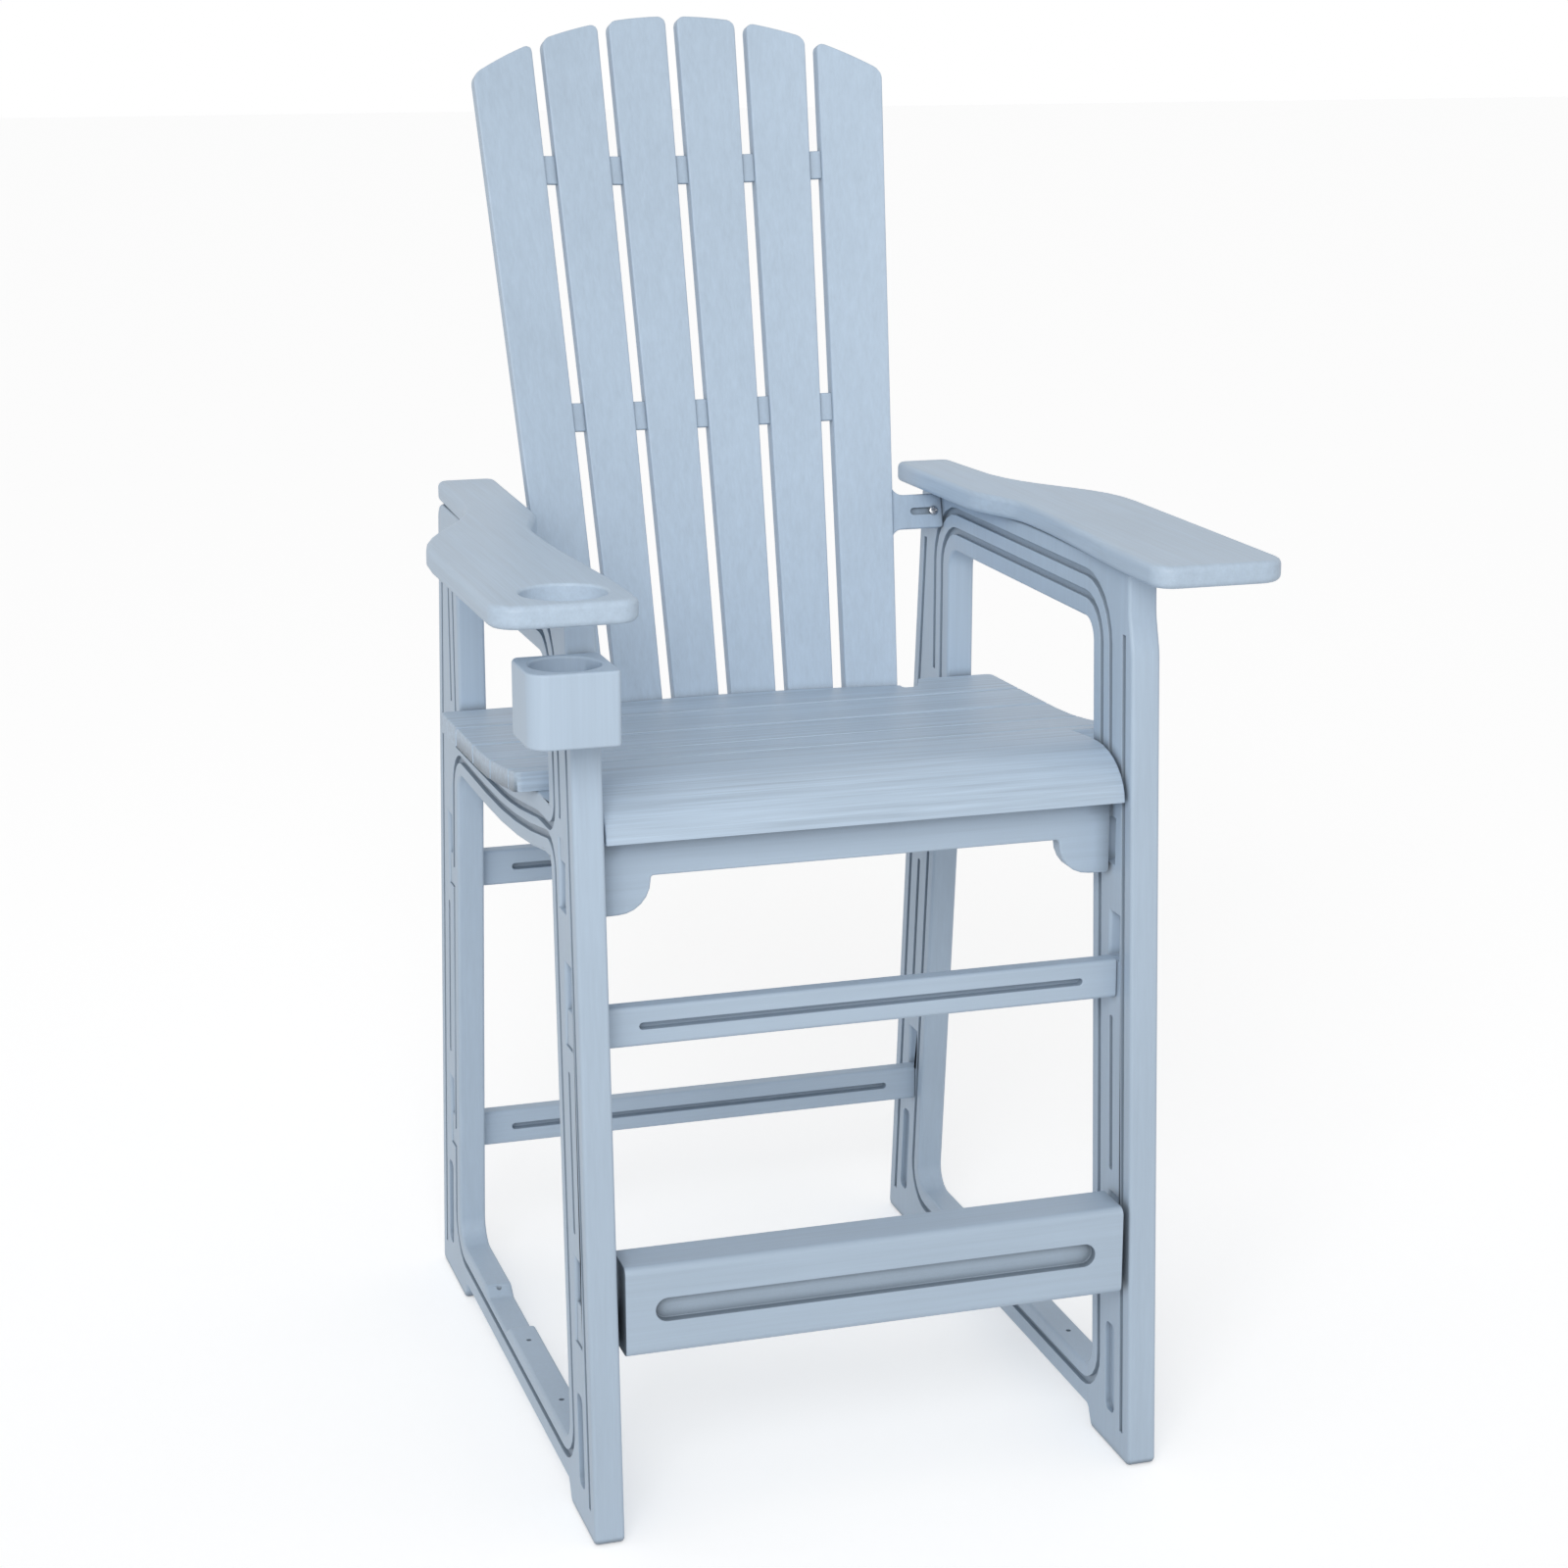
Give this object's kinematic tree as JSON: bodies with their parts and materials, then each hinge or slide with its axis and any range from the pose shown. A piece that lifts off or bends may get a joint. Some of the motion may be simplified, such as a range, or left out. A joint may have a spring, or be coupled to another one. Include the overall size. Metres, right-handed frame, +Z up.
{
  "type": "adirondack bar stool",
  "caption": "Tall moulded patio bar chair with arms, curved fan back, waterfall seat, footrest and a cup holder on one arm.",
  "frame": {"origin": "on the floor, below the middle of the stool's overall width and depth", "axes": "+Z up, the sitter faces -Y, +X towards the side without the cup holder"},
  "size_m": [0.768, 0.811, 1.4314],
  "materials": {
    "moulded_plastic": "matte light steel blue with fine wood grain",
    "screw_steel": "plain stainless"
  },
  "bodies": {
    "root": {"left_side_frame": "moulded_plastic", "right_side_frame": "moulded_plastic", "seat_panel": "moulded_plastic", "front_seat_batten": "moulded_plastic", "rear_seat_batten": "moulded_plastic", "front_apron": "moulded_plastic", "mid_front_bar": "moulded_plastic", "footrest": "moulded_plastic", "lower_rear_bar": "moulded_plastic", "upper_rear_bar": "moulded_plastic", "back_foot_rail": "moulded_plastic", "backrest_panel": "moulded_plastic", "left_arm": "moulded_plastic", "right_arm": "moulded_plastic", "cup_holder": "moulded_plastic", "seat_screws": "screw_steel", "back_foot_screws": "screw_steel", "ear_screws": "screw_steel", "arm_screws": "screw_steel", "cup_holder_screws": "screw_steel"}
  },
  "joints": []
}
